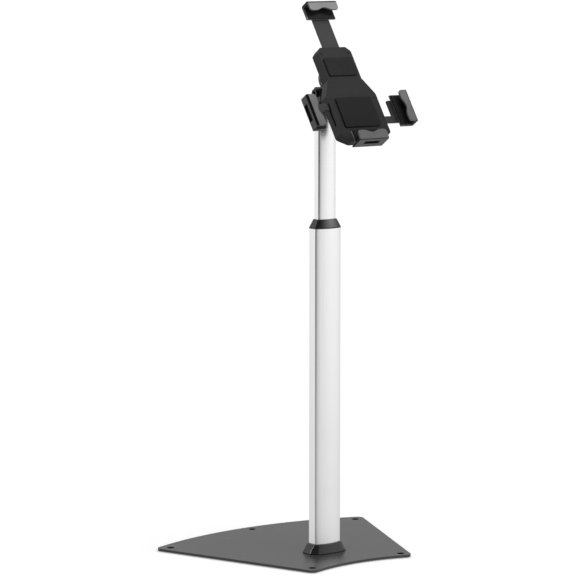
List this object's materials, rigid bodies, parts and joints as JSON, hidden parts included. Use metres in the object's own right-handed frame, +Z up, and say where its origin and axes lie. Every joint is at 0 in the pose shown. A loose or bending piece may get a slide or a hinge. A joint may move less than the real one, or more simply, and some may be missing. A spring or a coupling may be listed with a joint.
{
  "type": "adjustable tablet floor stand",
  "caption": "Floor stand with a flat trapezoid base plate, a telescopic column and a tilting, turning holder with wavy-lipped adjustable clamps for a tablet.",
  "frame": {"origin": "point on the floor under the axis of the telescopic column, on the underside of the middle floor pad", "axes": "+Z up along the column, -Y towards the person who faces the holder, +X to that person's right"},
  "size_m": [0.4182, 0.3511, 0.8959],
  "materials": {
    "base_steel": "satin dark grey powder coat",
    "column_silver": "satin silver anodised extrusion",
    "black_plastic": "fine matt moulded black",
    "clamp_grey": "fine matt moulded grey",
    "rubber_black": "matt rubber",
    "steel_zinc": "zinc plated steel",
    "arm_steel": "black powder coated flat steel",
    "head_metal": "black coated die casting",
    "gear_plastic": "natural acetal",
    "insert_brass": "machined brass"
  },
  "bodies": {
    "base": {"base_plate": "base_steel", "floor_pads": "rubber_black", "column_bolts": "steel_zinc", "foot_collar": "black_plastic", "outer_column": "column_silver", "top_collar": "black_plastic", "guide_strips": "black_plastic", "height_insert": "steel_zinc", "height_screw": "steel_zinc"},
    "mast": {"inner_column": "column_silver", "glide_shoe": "black_plastic", "head_cap": "head_metal", "hinge_bolt": "steel_zinc", "hinge_nut": "steel_zinc", "hinge_washers": "steel_zinc"},
    "tilt_head": {"tilt_knuckle": "head_metal", "friction_disc": "rubber_black", "pivot_washer": "steel_zinc", "pivot_bolt": "steel_zinc"},
    "cradle": {"rear_shell": "black_plastic", "front_cover": "black_plastic", "cover_screws": "steel_zinc", "face_pads": "rubber_black", "gear_pin": "steel_zinc", "lock_inserts": "insert_brass", "lock_screws": "steel_zinc", "bottom_arm": "arm_steel", "bottom_arm_screws": "steel_zinc", "bottom_clamp": "clamp_grey", "bottom_lining": "rubber_black", "bottom_clamp_screws": "steel_zinc"},
    "top_slide": {"top_arm": "arm_steel", "top_clamp": "clamp_grey", "top_lining": "rubber_black", "top_clamp_screws": "steel_zinc"},
    "left_slide": {"left_arm": "arm_steel", "left_clamp": "clamp_grey", "left_lining": "rubber_black", "left_clamp_screws": "steel_zinc"},
    "right_slide": {"right_arm": "arm_steel", "right_clamp": "clamp_grey", "right_lining": "rubber_black", "right_clamp_screws": "steel_zinc"},
    "centring_gear": {"pinion": "gear_plastic"}
  },
  "joints": [
    {"name": "column_height", "type": "slide", "parent": "base", "child": "mast", "axis": [0, 0, 1], "range_m": [-0.16, 0.21]},
    {"name": "holder_tilt", "type": "hinge", "parent": "mast", "child": "tilt_head", "pos_m": [0, 0, 0.7506], "axis": [-1, 0, 0], "range_deg": [-33.9, 56.1]},
    {"name": "holder_turn", "type": "hinge", "parent": "tilt_head", "child": "cradle", "pos_m": [0, 0, 0.7506], "axis": [0, -0.83, 0.5577], "continuous": true},
    {"name": "top_arm_slide", "type": "slide", "parent": "cradle", "child": "top_slide", "axis": [0, 0.5577, 0.83], "range_m": [-0.045, 0.015]},
    {"name": "left_arm_slide", "type": "slide", "parent": "cradle", "child": "left_slide", "axis": [-1, 0, 0], "range_m": [-0.021, 0.01]},
    {"name": "right_arm_slide", "type": "slide", "parent": "cradle", "child": "right_slide", "axis": [1, 0, 0], "range_m": [-0.021, 0.01]},
    {"name": "centring_gear_turn", "type": "hinge", "parent": "cradle", "child": "centring_gear", "pos_m": [0, -0.08262, 0.72178], "axis": [0, -0.83, 0.5577], "range_deg": [-140, 70]}
  ],
  "couplings": [
    {"joint": "right_arm_slide", "follows": "left_arm_slide", "ratio": 1},
    {"joint": "centring_gear_turn", "follows": "left_arm_slide", "rad_per_m": 111.11}
  ]
}
